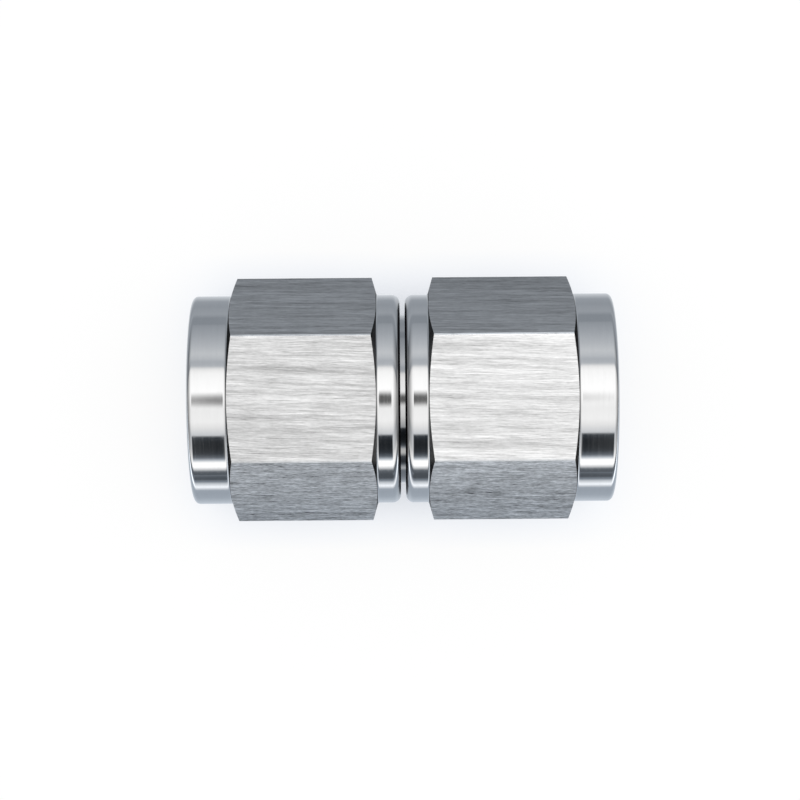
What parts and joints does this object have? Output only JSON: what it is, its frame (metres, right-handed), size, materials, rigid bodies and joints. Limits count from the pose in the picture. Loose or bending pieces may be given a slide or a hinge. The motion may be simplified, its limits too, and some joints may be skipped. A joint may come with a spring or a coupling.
{
  "type": "flare swivel union",
  "caption": "Straight tube union with a hex swivel nut on each end, each nut threaded inside over a 37 degree flare seat.",
  "frame": {"origin": "centre of the sleeve, on the flow axis, midway between the two nuts", "axes": "+X along the flow axis towards the right nut, +Z out of the uppermost hex flats, +Y level"},
  "size_m": [0.0502, 0.0292, 0.0254],
  "materials": {
    "nut_steel": "hex flats drawn along the flow axis, collars turned and polished",
    "sleeve_steel": "turned and polished",
    "ring_wire": "drawn spring wire"
  },
  "bodies": {
    "sleeve": {"swivel_sleeve": "sleeve_steel"},
    "left_nut": {"left_nut": "nut_steel", "left_retaining_ring": "ring_wire"},
    "right_nut": {"right_nut": "nut_steel", "right_retaining_ring": "ring_wire"}
  },
  "joints": [
    {"name": "left_nut_spin", "type": "hinge", "parent": "sleeve", "child": "left_nut", "pos_m": [-0.01267, 0, 0], "axis": [-1, 0, 0], "continuous": true},
    {"name": "right_nut_spin", "type": "hinge", "parent": "sleeve", "child": "right_nut", "pos_m": [0.01267, 0, 0], "axis": [1, 0, 0], "continuous": true}
  ]
}
